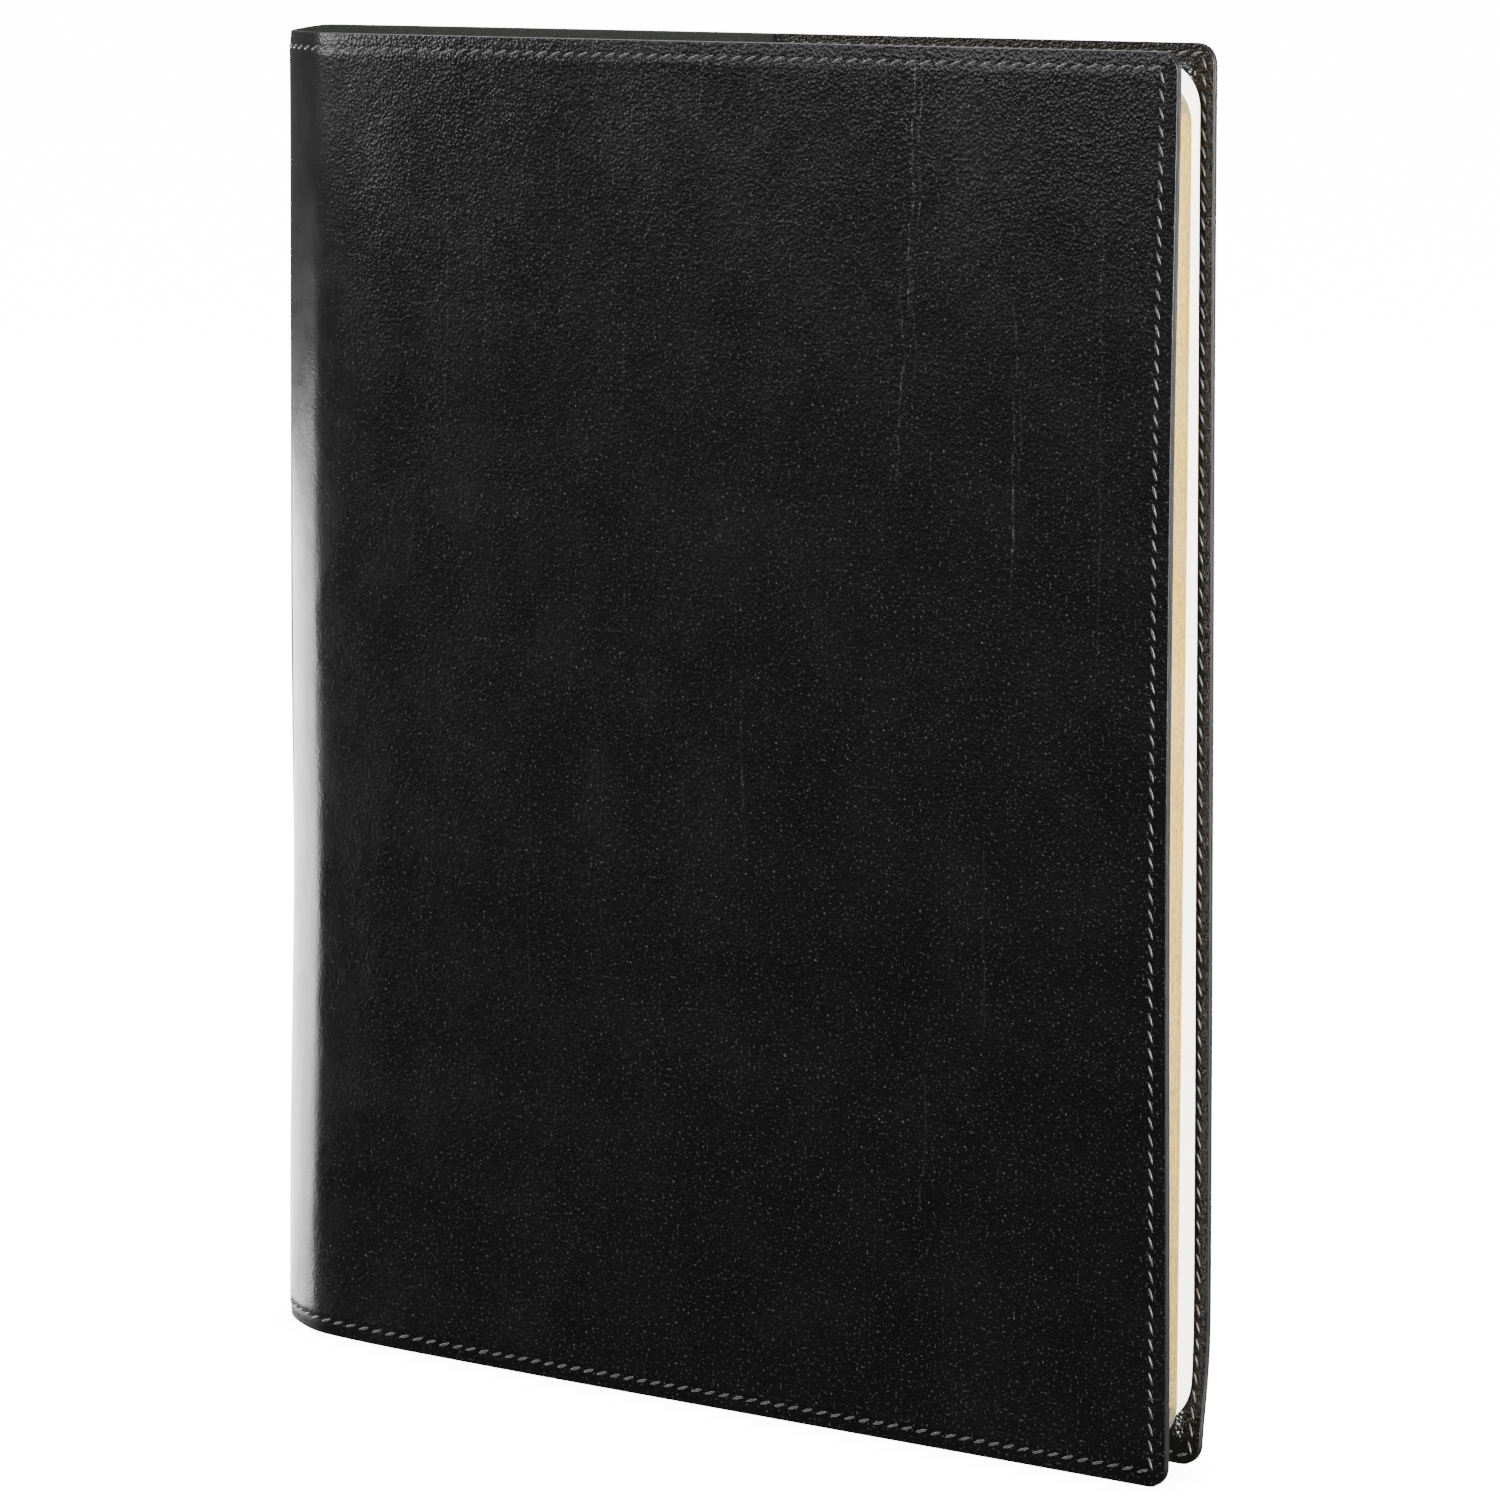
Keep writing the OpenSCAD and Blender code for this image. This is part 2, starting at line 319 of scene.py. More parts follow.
def burnished_gilt(name, code, shadow):
    """Gold leaf laid on the trimmed edges and burnished with an agate: pale and glowing where it is whole,
    grained where the paper's edge comes through."""
    material, tree, shader = blank_material(name, Metallic=1.0, Roughness=0.3)
    streaks = node(tree, "TexNoise", {"Vector": place_mm(tree, False, (1, 5, 0.06)), "Scale": 1.0, "Detail": 3.0})
    grit = node(tree, "TexNoise", {"Vector": place_mm(tree, False), "Scale": 1.5, "Detail": 3.0, "Roughness": 0.65})
    cloud = node(tree, "TexNoise", {"Vector": place_mm(tree, False, (1, 1, 0.5)), "Scale": 0.06, "Detail": 2.0})
    tinted(tree, shader, weighted(tree, ((grit, 2.4), (streaks, 0.3), (cloud, 0.6)), -1.05), linear(shadow), code)
    relief(tree, shader, (grit, 0.07), (streaks, 0.03))
    return material


def book_paper(colours):
    """Uncoated book paper: warm white and matt, with a faint tooth."""
    material, tree, shader = blank_material("uncoated_book_paper", Roughness=0.85, Sheen_Weight=0.1)
    tooth = node(tree, "TexNoise", {"Vector": place_mm(tree, False), "Scale": 3.0, "Detail": 3.0})
    cloud = node(tree, "TexNoise", {"Vector": place_mm(tree, False), "Scale": 0.05, "Detail": 2.0})
    tinted(tree, shader, cloud, scaled(colours.paper, 0.92), colours.paper)
    relief(tree, shader, (tooth, 0.015))
    return material


def grey_board():
    """Pressed pasteboard: buff grey with flecks of fibre."""
    material, tree, shader = blank_material("pressed_pasteboard", Roughness=0.9)
    fibre = node(tree, "TexNoise", {"Vector": place_mm(tree, False, (1, 1, 0.3)), "Scale": 1.6, "Detail": 4.0})
    tinted(tree, shader, fibre, linear("#8d8576"), linear("#c9c1af"))
    relief(tree, shader, (fibre, 0.05))
    return material


def starched_linen():
    """Starched linen: a cream plain weave, its threads 0.9 mm apart, with painted shade where the threads dip under
    each other.
    """
    material, tree, shader = blank_material("starched_linen_weave", Roughness=0.9, Sheen_Weight=0.2)
    threads = [node(tree, "TexWave", {"Vector": place_mm(tree, False), "Scale": 0.35, "Distortion": 0.4},
                    bands_direction=way) for way in "YZ"]
    weave = node(tree, "Math", {0: threads[0], 1: threads[1]}, operation="MULTIPLY")
    # painted shade: the weave is coloured darker where its bump is low
    tinted(tree, shader, weave, linear("#a89a7c"), linear("#eee6d2"))
    relief(tree, shader, (weave, 0.12))
    return material


def wound_silk(name, code):
    """Mercerised silk wound over the core of an end band: a soft shine across the wraps."""
    material, tree, shader = blank_material(name, Roughness=0.45, Sheen_Weight=0.4)
    strands = node(tree, "TexNoise", {"Vector": place_mm(tree, False, (3, 9, 3)), "Scale": 1.0, "Detail": 2.0})
    tinted(tree, shader, strands, scaled(linear(code), 0.7), linear(code))
    relief(tree, shader, (strands, 0.03))
    return material


MADE = {}


def materials():
    """Every material of the book by its name, made once."""
    if not MADE:
        colours = bpy.context.scene.book_colours
        MADE.update(
            leather=glazed_cowhide(colours), pocket=pocket_goatskin(colours), suede=flesh_side(colours),
            edge=painted_edge(colours), thread=waxed_thread(colours), paper=book_paper(colours),
            gilt=burnished_gilt("burnished_gilt_edge", colours.gilt, "#a87008"),
            bole=burnished_gilt("gilt_worn_to_bole", linear("#c8763c"), "#8a3f22"),    # rubbed to the red clay
            board=grey_board(), linen=starched_linen(),
            gold_silk=wound_silk("gold_band_silk", "#b98a2c"), white_silk=wound_silk("white_band_silk", "#efe9dc"))
    return MADE


# ---- the bent sheet that the jacket and its layers follow ----

# Each side's plan from the middle of the spine: first the heading there, and then the length (m) and turn
# (degrees) of each arc. The last one runs on to the fore edge. The leather rolls slowly into the front and
# sharply into the back, and both panels belly out.
BEND = {
    FRONT: (46, ((3.3 * MM, 8), (7 * MM, 12), (3.4 * MM, 14), (3.8 * MM, 4.5), (12.4 * MM, 4.5), (35 * MM, 1.2),
                 (None, -0.1))),
    BACK: (-46, ((3.6 * MM, 60), (4 * MM, 58), (7 * MM, 13), (12 * MM, 3), (40 * MM, 2.2), (None, 1.8))),
}
BACK_RAISE = 0.9 * MM                     # the back panel stands a little higher than the front one
TAIL_CURL = 2.4 * MM                      # the back panel's tail corner curls in


def arc_step(x, y, heading, run, turn):
    """Moves run along an arc from x, y; heading is 0 towards the cover's face and grows towards the fore edge."""
    if abs(turn) < 1e-9:
        return x + run * math.sin(heading), y + run * math.cos(heading), heading
    radius = run / turn
    after = heading + turn
    return (x + radius * (math.cos(heading) - math.cos(after)),
            y + radius * (math.sin(after) - math.sin(heading)), after)


def bend_arcs(side):
    """The arcs of a side as (start, length, x, y, heading, turn), the last one cut to reach the fore edge."""
    first, turns = BEND[side]
    arcs, start, x, y, heading = [], 0.0, 0.0, 0.0, math.radians(first)
    for run, degrees in turns:
        turn = math.radians(degrees)
        if run is None:
            run = (COVER_W - x) / math.sin(heading + turn / 2)
        arcs.append((start, run, x, y, heading, turn))
        x, y, heading = arc_step(x, y, heading, run, turn)
        start += run
    return arcs


ARCS = {side: bend_arcs(side) for side in (FRONT, BACK)}
SHEET_LENGTH = {side: ARCS[side][-1][0] + ARCS[side][-1][1] for side in (FRONT, BACK)}


def plan_at(side, along):
    """Place (from the spine, out from the middle) and heading of the sheet's outer face at a distance along it."""
    for start, run, x, y, heading, turn in reversed(ARCS[side]):
        if along >= start - 1e-9:
            share = (along - start) / run
            return arc_step(x, y, heading, along - start, turn * share)
    return plan_at(side, 0.0)


def along_of(side, x):
    """Distance along the sheet of a place x in the frame, on the flat part of a panel."""
    return SHEET_LENGTH[side] - (FORE_X - x)


def lean(side, along, z):
    """How far a panel leans in towards the leaves at a place on it; below 0 it warps out."""
    out = ease(along, 50 * MM, SHEET_LENGTH[side] + 10 * MM)
    if side == FRONT:
        return out * MM * (-1.3 + 1.0 * ease(z, 150 * MM, 225 * MM) + 2.0 * ease(-z, -110 * MM, 10 * MM))
    corner = ease(along, SHEET_LENGTH[side] - 60 * MM, SHEET_LENGTH[side]) * ease(-z, -28 * MM, 0) ** 2
    return out * MM * (-1.1 + 3.1 * ease(z, -40 * MM, 240 * MM)) + corner * TAIL_CURL


def edge_distance(side, along, z):
    """Distance to the nearest free edge of the jacket, rounded at the corners."""
    return min(SHEET_LENGTH[side] - along, z, HEAD_Z - z)


def belly(side, along, z):
    """The hide's own unevenness: it never lies quite flat over the card."""
    inside = ease(edge_distance(side, along, z), 0, 25 * MM)
    swell = noise.noise(Vector((along * 17, z * 12, 3.0 * side)))
    return inside * swell * 0.28 * MM


def kick(along, z):
    """How far the spine stands out behind its place: more and more towards the tail."""
    near = 1 - ease(along, 6 * MM, 45 * MM)
    return near * MM * (1.1 * ease(-z, -218 * MM, -110 * MM) + 2.0 * ease(-z, -90 * MM, 0) - 0.6)


def bent(side, along, depth, z):
    """Place in the frame of a point of the flat stack: depth goes from the outer face inwards."""
    x, y, heading = plan_at(side, min(along, SHEET_LENGTH[side]))
    over = max(0.0, along - SHEET_LENGTH[side])
    inward = depth + lean(side, along, z) + belly(side, along, z)
    raised = BACK_RAISE * ease(along, 0.5 * MM, 10 * MM) if side == BACK else 0.0
    return Vector((SPINE_X + x + over - kick(along, z) + inward * math.cos(heading),
                   side * (y - inward * math.sin(heading)), z + raised))


def pinch(side, along, z):
    """1 at the free edges, where the seam squeezes the layers, and 0 past the seam."""
    return 1 - ease(edge_distance(side, along, z), 0, 3.2 * MM)


def outer_face(side, along, z):
    """How far the seam draws the outer face in: a rolled edge and a shallow groove under the stitches."""
    away = edge_distance(side, along, z)
    groove = 0.09 * MM * math.exp(-((away - SEAM_INSET) / (0.5 * MM)) ** 2)
    return bpy.context.scene.book_sizes.seam_pinch * pinch(side, along, z) + groove


def leather_depth(side, along, depth, z):
    """Depth in the stack of a point of the jacket leather, which is pared thinner at its edges."""
    return outer_face(side, along, z) + depth * (1 - 0.2 * pinch(side, along, z))


def pocket_depth(side, along, depth, z):
    """Depth in the stack of a point of a pocket flap, which drops from the card to the leather at the seam."""
    sewn = 1 - ease(edge_distance(side, along, z), 2.6 * MM, 4.5 * MM)
    on_leather = leather_depth(side, along, LEATHER_T, z) + 0.01 * MM
    top = STACK_T - POCKET_T
    return top + (on_leather - top) * sewn + depth * (1 - 0.2 * pinch(side, along, z))


def card_depth(side, along, depth, z):
    """Depth in the stack of a point of a card: it isn't squeezed by the seam."""
    return depth


# ---- mesh tools ----

def new_piece(name, bm, palette, smooth=True):
    """Makes the mesh an object at the origin with its materials."""
    mesh = bpy.data.meshes.new(name)
    bmesh.ops.recalc_face_normals(bm, faces=bm.faces)
    bm.to_mesh(mesh)
    bm.free()
    for material in palette:
        mesh.materials.append(material)
    if smooth:
        mesh.shade_smooth()
    piece = bpy.data.objects.new(name, mesh)
    bpy.context.scene.collection.objects.link(piece)
    return piece


def steps(low, high, size):
    """Evenly spaced cuts strictly between low and high, no further apart than size."""
    count = max(1, math.ceil((high - low) / size))
    return [low + (high - low) * i / count for i in range(1, count)]


def cut_sheet(bm, axis, places):
    """Cuts a sheet across an axis at each place. Only what lies beyond the last cut is cut again."""
    normal, point, beyond = [0, 0, 0], [0, 0, 0], bm.faces[:]
    normal[axis] = 1
    for place in sorted(places):
        point[axis] = place
        geom = beyond + list({e for f in beyond for e in f.edges}) + list({v for f in beyond for v in f.verts})
        cut = bmesh.ops.bisect_plane(bm, geom=geom, dist=1e-7, plane_co=point, plane_no=normal)
        beyond = [f for f in cut["geom"]
                  if isinstance(f, bmesh.types.BMFace) and f.calc_center_median()[axis] > place]


def flat_sheet(x0, x1, z0, z1, corner, thickness, x_cuts, z_cuts, arris=0.0, corner_steps=8):
    """A flat sheet in X and Y with its two corners at x1 rounded, cut into cells and given its thickness
    in Z, its sharp edges rounded to arris."""
    bm = bmesh.new()
    bmesh.ops.create_grid(bm, x_segments=1, y_segments=1, size=0.5)
    bmesh.ops.transform(bm, verts=bm.verts, matrix=Matrix.Translation(((x0 + x1) / 2, (z0 + z1) / 2, 0))
                        @ Matrix.Diagonal((x1 - x0, z1 - z0, 1, 1)))
    if corner > 0:
        far = [v for v in bm.verts if v.co.x > (x0 + x1) / 2]
        bmesh.ops.bevel(bm, geom=far, offset=corner, affect="VERTICES", segments=corner_steps, profile=0.5,
                        material=-1)
    cut_sheet(bm, 0, x_cuts)
    cut_sheet(bm, 1, z_cuts)
    bmesh.ops.recalc_face_normals(bm, faces=bm.faces)
    bmesh.ops.solidify(bm, geom=bm.faces[:], thickness=thickness)
    low = min(v.co.z for v in bm.verts)
    bmesh.ops.translate(bm, verts=bm.verts, vec=(0, 0, -low))
    bmesh.ops.recalc_face_normals(bm, faces=bm.faces)
    if arris > 0:
        sharp = [e for e in bm.edges
                 if e.calc_face_angle(0) > SHARP_ANGLE and any(v.co.x > x0 + CLOSE for v in e.verts)]
        bmesh.ops.bevel(bm, geom=sharp, offset=arris, affect="EDGES", segments=3, profile=0.5, material=-1)
        bmesh.ops.recalc_face_normals(bm, faces=bm.faces)
    return bm


def face_kinds(bm, low, high, edge):
    """Gives each face of a flat sheet a material number: low side, high side or edge."""
    for face in bm.faces:
        up = face.normal.z
        face.material_index = high if up > 0.9 else low if up < -0.9 else edge


def keep_flat(bm):
    """Stores each point's place on the flat sheet, which the leather's patterns follow."""
    layer = bm.verts.layers.float_vector.new("flat")
    for vert in bm.verts:
        vert[layer] = (vert.co.x, vert.co.z, vert.co.y)


def stack_piece(name, side, x0, x1, z0, z1, corner, top, thickness, depth_at, palette, arris, cell, x_extra=()):
    """A layer of a cover: a flat sheet between the distances x0 and x1 along the jacket, bent with it.
    depth_at gives the depth in the stack of a point that lies top or more below the layer's own face."""
    margin = 7 * MM
    fine = 0.55 * MM
    x_cuts = steps(x0, x1 - margin, cell) + [x1 - margin] + steps(x1 - margin, x1, fine) + list(x_extra)
    z_cuts = (steps(z0, z0 + margin, fine) + [z0 + margin] + steps(z0 + margin, z1 - margin, cell)
              + [z1 - margin] + steps(z1 - margin, z1, fine))
    bm = flat_sheet(x0, x1, z0, z1, corner, thickness, x_cuts, z_cuts, arris)
    face_kinds(bm, 0, 1, 2)
    keep_flat(bm)
    for vert in bm.verts:
        along, z, depth = vert.co
        vert.co = bent(side, along, depth_at(side, along, top + depth, z), z)
    return new_piece(name, bm, palette)


def hinge_blend(piece):
    """Bakes the piece's place into its mesh and leaves it at the origin."""
    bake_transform(piece)


# ---- the pieces ----

def make_jacket(side):
    """Half of the jacket leather, from the middle of the spine to the fore edge."""
    sizes = bpy.context.scene.book_sizes
    made = materials()
    roll = [0.05 * MM, 0.3 * MM] + steps(0.3 * MM, 22 * MM, 0.5 * MM)
    return stack_piece(
        f"{SIDE_NAME[side]}_jacket_leather", side, 0.0, SHEET_LENGTH[side], 0.0, HEAD_Z, sizes.corner_radius, 0.0,
        LEATHER_T, leather_depth, [made["leather"], made["suede"], made["edge"]], sizes.arris_radius,
        sizes.leather_cell, roll)


def open_middle(piece):
    """Takes away the faces that close the half jacket at the middle of the spine, where both halves meet."""
    bm = bmesh.new()
    bm.from_mesh(piece.data)
    layer = bm.verts.layers.float_vector["flat"]
    closing = [f for f in bm.faces if all(abs(v[layer].x) < CLOSE for v in f.verts)]
    bmesh.ops.delete(bm, geom=closing, context="FACES_ONLY")
    bm.to_mesh(piece.data)
    bm.free()


def stitch_mesh(sizes):
    """One stitch at the origin, along X: a plump oval that slants across the seam."""
    bm = bmesh.new()
    shape = Matrix.Diagonal((sizes.stitch_pitch * STITCH_SHARE, sizes.thread_width,
                             sizes.thread_width * THREAD_FLATNESS, 1))
    bmesh.ops.create_uvsphere(bm, u_segments=8, v_segments=6, radius=0.5,
                              matrix=Matrix.Rotation(math.radians(STITCH_SLANT), 4, "Z") @ shape
                              @ Matrix.Rotation(math.radians(90), 4, "Y"))
    mesh = bpy.data.meshes.new("stitch")
    bm.to_mesh(mesh)
    bm.free()
    return mesh


def seam_runs(side, from_x, inset):
    """The straight runs of a cover's seam: along the head, down the fore edge and back along the tail."""
    far = SHEET_LENGTH[side] - inset
    head, tail = HEAD_Z - inset, inset
    return (((from_x, head), (far, head)), ((far, head), (far, tail)), ((far, tail), (from_x, tail)))


def sew(bm, stitch, side, from_x, inset, pitch):
    """Adds the stitches of a seam that begins and ends at from_x."""
    for (x0, z0), (x1, z1) in seam_runs(side, from_x, inset):
        run = math.hypot(x1 - x0, z1 - z0)
        count = round(run / pitch)
        for i in range(count):
            share = (i + 0.5) / count
            laid = (Matrix.Translation((x0 + (x1 - x0) * share, z0 + (z1 - z0) * share, 0))
                    @ Matrix.Rotation(math.atan2(z1 - z0, x1 - x0), 4, "Z"))
            stitch.transform(laid)
            bm.from_mesh(stitch)
            stitch.transform(laid.inverted())


def make_seam(side):
    """The stitches of one cover: outside on the leather, inside on the pocket flap."""
    sizes = bpy.context.scene.book_sizes
    stitch = stitch_mesh(sizes)
    bm = bmesh.new()
    sew(bm, stitch, side, 0.0, SEAM_INSET, sizes.stitch_pitch)
    outside = len(bm.verts)
    inner_start = along_of(side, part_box("front_pocket")[0].x) + INNER_SEAM_START
    sew(bm, stitch, side, inner_start, INNER_SEAM_INSET, sizes.stitch_pitch)
    bpy.data.meshes.remove(stitch)
    keep_flat(bm)
    proud = sizes.thread_width * THREAD_PROUD
    for index, vert in enumerate(bm.verts):
        along, z, depth = vert.co
        if index < outside:
            vert.co = bent(side, along, outer_face(side, along, z) - proud + depth, z)
        else:
            vert.co = bent(side, along, pocket_depth(side, along, POCKET_T, z) + proud + depth, z)
    return new_piece(f"{SIDE_NAME[side]}_seam_thread", bm, [materials()["thread"]])


def make_pocket(side):
    """The pocket flap: sewn flat at its three outer edges and swelling over the card."""
    sizes = bpy.context.scene.book_sizes
    made = materials()
    x0 = along_of(side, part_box("front_pocket")[0].x)
    return stack_piece(
        f"{SIDE_NAME[side]}_pocket_flap", side, x0, SHEET_LENGTH[side], 0.0, HEAD_Z, sizes.corner_radius, 0.0,
        POCKET_T, pocket_depth, [made["suede"], made["pocket"], made["edge"]], POCKET_ARRIS, sizes.leather_cell)


def make_card_layer(side, name, top, thickness, material):
    """A card or its pastedown, in the space of its CAD node but following the jacket's belly."""
    low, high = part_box(name)
    return stack_piece(
        f"{name}_sheet", side, along_of(side, low.x), along_of(side, high.x), low.z, high.z, 2 * MM, top, thickness,
        card_depth, [material, material, material], 0.0, 6 * MM)


LEAVES_IN_SECTION = 8
LEAF_FILL = 0.98                          # thickness of a leaf, of its share of the section
TRIM_SPREAD = 0.004                       # mm by which the trimmed fore edges differ
FOLD_LENGTH = 3 * MM                      # the leaves of a section part over this much beside their fold
TURN_LENGTH = 12 * MM                     # a turned leaf curves over this much beside its fold
SPINE_BOARD_SHARE = 0.6                   # width of the card strip in the case spine, of its place there
SPINE_BOARD_OFFSET = 0.6 * MM             # how far it lies towards the back
BLOCK_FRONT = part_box("section_1")[0].y
BLOCK_PRESS = 0.8                         # the pressed fore edge is this much of the block's thickness at the folds
BLOCK_SAG = 0.4 * MM                      # the fore edge lies towards the front cover by this much
SECTION_FILL = 1.14                       # the leaves of a section spread until they touch the next one


def leaf_sheet(low, high, thickness, sizes, cell):
    """A flat leaf between two corners in X and Z, its face numbered 0 and its trimmed edge 1."""
    turn_cuts = steps(low.x, low.x + TURN_LENGTH, 1.5 * MM)
    x_cuts = turn_cuts + [low.x + TURN_LENGTH] + steps(low.x + TURN_LENGTH, high.x, cell)
    bm = flat_sheet(low.x, high.x, low.z, high.z, sizes.leaf_corner, thickness, x_cuts,
                    steps(low.z, high.z, cell), 0.0, 12)
    for face in bm.faces:
        at_fold = face.calc_center_median().x < low.x + CLOSE
        face.material_index = 0 if abs(face.normal.z) > 0.5 or at_fold else 1
    return bm


def pressed(x, y, low_x, high_x):
    """Y of a point of the block once its fore edge has been pressed and trimmed."""
    share = ease(x, low_x + FOLD_LENGTH, high_x)
    return y + share * ((y - BLOCK_FRONT) * (BLOCK_PRESS - 1) - BLOCK_SAG)


def make_section(number):
    """A sewn section: folded leaves that spring from one fold and lie on each other."""
    sizes = bpy.context.scene.book_sizes
    made = materials()
    low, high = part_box(f"section_{number}")
    middle, full = (low.y + high.y) / 2, (high.y - low.y) * SECTION_FILL
    pitch = full / LEAVES_IN_SECTION
    draw = random.Random(number)
    whole = bmesh.new()
    for leaf in range(LEAVES_IN_SECTION):
        trim = draw.uniform(0, TRIM_SPREAD) * MM
        cockle = draw.uniform(0, 6)
        bm = leaf_sheet(low, Vector((high.x - trim, high.y, high.z)), pitch * LEAF_FILL, sizes, 26 * MM)
        for vert in bm.verts:
            x, z, depth = vert.co
            opened = 0.3 + 0.7 * ease(x, low.x, low.x + FOLD_LENGTH)
            wave = 0.012 * MM * math.sin(z / (17 * MM) + cockle) * ease(x, low.x, high.x)
            off = ((leaf + 0.05) * pitch + depth - full / 2) * opened
            vert.co = Vector((x, pressed(x, middle, low.x, high.x) + off + wave, z))
        leaf_mesh = bpy.data.meshes.new("leaf")
        bm.to_mesh(leaf_mesh)
        bm.free()
        whole.from_mesh(leaf_mesh)
        bpy.data.meshes.remove(leaf_mesh)
    return new_piece(f"section_{number}_leaves", whole, [made["paper"], made["gilt"]], smooth=False)


def make_front_flyleaf():
    """The first leaf, which lies on the first section."""
    sizes = bpy.context.scene.book_sizes
    made = materials()
    low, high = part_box("front_flyleaf")
    bm = leaf_sheet(low, high, (high.y - low.y) * 0.7, sizes, 12 * MM)
    for vert in bm.verts:
        x, z, depth = vert.co
        vert.co = Vector((x, pressed(x, low.y + 0.03 * MM, low.x, high.x) + depth, z))
    return new_piece("front_flyleaf_sheet", bm, [made["paper"], made["bole"]], smooth=False)


def make_back_flyleaf():
    """The last leaf: it leaves the block at the fold, curves across and lies along the back pocket."""
    sizes = bpy.context.scene.book_sizes
    made = materials()
    low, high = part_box("back_flyleaf")
    thickness = 0.14 * MM
    clear = 0.35 * MM
    bm = leaf_sheet(low, high, thickness, sizes, 5 * MM)
    for vert in bm.verts:
        x, z, depth = vert.co
        inner = bent(BACK, along_of(BACK, min(x, high.x - 8 * MM)), STACK_T, z).y
        at_fold = low.y + 0.03 * MM
        share = ease(x, low.x + 2 * MM, high.x - 30 * MM)
        spring = 0.25 * MM * ease(x, high.x - 12 * MM, high.x)
        vert.co = Vector((x, at_fold + (inner - clear - thickness - at_fold) * share + spring + depth, z))
    return new_piece("back_flyleaf_sheet", bm, [made["paper"], made["bole"]])


def make_end_band(name):
    """A head or tail band: silk wraps side by side over a core, in two colours, with the tongue glued below."""
    low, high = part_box(name)
    bead = min(high.x - low.x, 0.8 * MM)
    at_head = name == "headband"
    z = high.z - bead / 2 if at_head else low.z + bead / 2
    count = round((high.y - low.y) / (0.42 * MM))
    pitch = (high.y - low.y) / count
    bm = bmesh.new()
    for i in range(count):
        start = len(bm.faces)
        bmesh.ops.create_uvsphere(
            bm, u_segments=10, v_segments=6, radius=0.5,
            matrix=Matrix.Translation((low.x + bead / 2, low.y + pitch * (i + 0.5), z))
            @ Matrix.Diagonal((bead, pitch * 1.15, bead, 1)))
        bm.faces.ensure_lookup_table()
        for face in bm.faces[start:]:
            face.material_index = i % 2
    tongue = bmesh.ops.create_cube(bm, size=1.0, matrix=Matrix.Translation(
        ((low.x + high.x) / 2, (low.y + high.y) / 2, (low.z + high.z) / 2))
        @ Matrix.Diagonal((0.25 * MM, high.y - low.y, high.z - low.z - bead, 1)))
    tongue_edges = {edge for vert in tongue["verts"] for edge in vert.link_edges}
    bmesh.ops.bevel(bm, geom=list(tongue_edges), offset=0.05 * MM, affect="EDGES", segments=2, profile=0.5,
                    material=-1)
    made = materials()
    return new_piece(f"{name}_silk", bm, [made["gold_silk"], made["white_silk"]])


def make_spine_board():
    """The card strip of the case spine: bowed a little, narrower and thinner than its place, and set towards
    the back, so that it stays clear of the leather that rolls round it."""
    low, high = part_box("case_spine")
    width = SPINE_BOARD_SHARE * (high.y - low.y)
    middle = (low.y + high.y) / 2 + SPINE_BOARD_OFFSET
    bm = bmesh.new()
    bmesh.ops.create_cube(bm, size=1.0, matrix=Matrix.Diagonal((0.7 * (high.x - low.x), width, high.z - low.z, 1)))
    cut_sheet(bm, 1, steps(-width / 2, width / 2, 0.8 * MM))
    sharp = [edge for edge in bm.edges if edge.calc_face_angle(0) > SHARP_ANGLE]
    bmesh.ops.bevel(bm, geom=sharp, offset=0.12 * MM, affect="EDGES", segments=2, profile=0.5, material=-1)
    for vert in bm.verts:
        bow = 0.3 * (high.x - low.x) * (0.5 - (2 * vert.co.y / width) ** 2)
        vert.co += Vector(((low.x + high.x) / 2 - bow, middle, (low.z + high.z) / 2))
    return new_piece("case_spine_board", bm, [materials()["board"]])


def dress(name, material):
    """A CAD node whose shape is right keeps it and gets its real material."""
    shown = frame["nodes"][name]
    shown.data.materials.clear()
    shown.data.materials.append(material)


# ---- stage ----

CAMERA_PLACE = Vector((0.4811, -0.7177, 0.2461))
CAMERA_AZIMUTH = math.radians(33.52)      # turned from square on towards the fore edge
CAMERA_DROP = math.radians(8.3)           # looks down by this much
CAMERA_LENS = 132.0
CAMERA_SHIFT = -0.06
BACKDROP = 15.0                           # radiance that the view shows as white

# Each softbox: name, place and the point it faces (m), width and height (m) and radiance.
SOFTBOXES = (
    ("edge_softbox", (0.9, 1.1, 0.1), (0.08, 0, 0.1), 1.1, 0.9, 3.0),              # warms the gilt fore edge
    ("right_softbox", (1.25, -0.75, 0.45), (0, 0, 0.11), 0.8, 1.1, 50),            # the main light
    ("top_softbox", (-0.5, -0.1, 1.25), (0, 0, 0.11), 0.9, 0.9, 12),
    ("spine_strip", (-0.45, 0.14, 0.0), (0, 0.02, 0.07), 0.55, 0.2, 9),            # the white streak down the spine
    ("roll_softbox", (-0.46, -0.26, 0.32), (-0.06, 0, 0.15), 0.14, 0.14, 11),      # the glow beside the spine
    ("head_softbox", (-0.04, -0.19, 0.29), (0.06, 0, 0.205), 0.08, 0.08, 4.5),     # the glow at the head
)


def make_camera():
    """A long lens on the front cover, turned towards the fore edge and looking down a little."""
    data = bpy.data.cameras.new("camera")
    data.lens = CAMERA_LENS
    data.sensor_width = 36.0
    data.shift_y = CAMERA_SHIFT
    data.clip_start = 0.01
    camera = bpy.data.objects.new("camera", data)
    camera.location = CAMERA_PLACE
    camera.rotation_euler = (math.radians(90) - CAMERA_DROP, 0, CAMERA_AZIMUTH)
    bpy.context.scene.collection.objects.link(camera)
    bpy.context.scene.camera = camera


